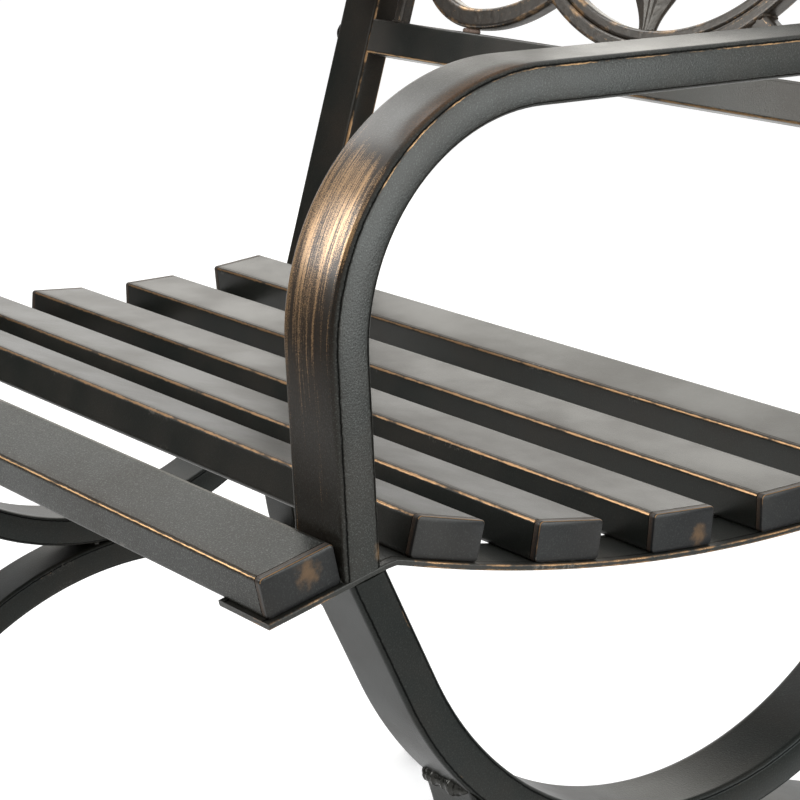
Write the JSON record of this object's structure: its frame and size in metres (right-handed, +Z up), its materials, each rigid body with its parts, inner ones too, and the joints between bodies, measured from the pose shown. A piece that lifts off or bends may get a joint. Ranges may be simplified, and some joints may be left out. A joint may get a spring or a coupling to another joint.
{
  "type": "garden armchair",
  "caption": "Slatted steel garden armchair with round-fronted arms, arched legs and a scrolled back panel, for sitting outdoors.",
  "frame": {"origin": "bottom centre of the chair's box, on the floor", "axes": "+Z up, -Y the way the sitter faces, +X towards the sitter's left"},
  "size_m": [0.6422, 0.612, 0.9296],
  "materials": {
    "frame_bronze": "semi-gloss black-bronze powder coat with a fine grain, rubbed to copper on edges and bends",
    "slat_bronze": "semi-gloss black-bronze powder coat with fine speckle, copper lines along the top edges",
    "cast_bronze": "brushed brown-black coat over hammered bar, copper on the high edges",
    "cap_plastic": "satin black plastic with copper rub on the rim",
    "foot_plastic": "matt black plastic",
    "black_fasteners": "black oxide",
    "zinc_steel": "bright zinc plating"
  },
  "bodies": {
    "root": {"arm_left": "frame_bronze", "arm_right": "frame_bronze", "seat_bar_left": "frame_bronze", "seat_bar_right": "frame_bronze", "upper_arc_left": "frame_bronze", "upper_arc_right": "frame_bronze", "leg_arch_left": "frame_bronze", "leg_arch_right": "frame_bronze", "back_post_left": "frame_bronze", "back_post_right": "frame_bronze", "front_strut_left": "frame_bronze", "front_strut_right": "frame_bronze", "rear_strut_left": "frame_bronze", "rear_strut_right": "frame_bronze", "back_stile_left": "cast_bronze", "back_stile_right": "cast_bronze", "lower_scroll_left": "cast_bronze", "lower_scroll_right": "cast_bronze", "upper_scroll_left": "cast_bronze", "upper_scroll_right": "cast_bronze", "slat_1": "slat_bronze", "slat_2": "slat_bronze", "slat_3": "slat_bronze", "slat_4": "slat_bronze", "slat_5": "slat_bronze", "slat_6": "slat_bronze", "slat_end_caps": "cap_plastic", "post_caps": "cap_plastic", "foot_caps": "foot_plastic", "slat_screws": "black_fasteners", "rail_bolts": "black_fasteners", "rail_washers": "black_fasteners", "slat_rivet_nuts": "zinc_steel", "rail_plugs": "zinc_steel", "lower_back_rail": "frame_bronze", "top_back_rail": "frame_bronze", "outer_ring": "cast_bronze", "inner_ring": "cast_bronze", "tulip": "cast_bronze"}
  },
  "joints": []
}
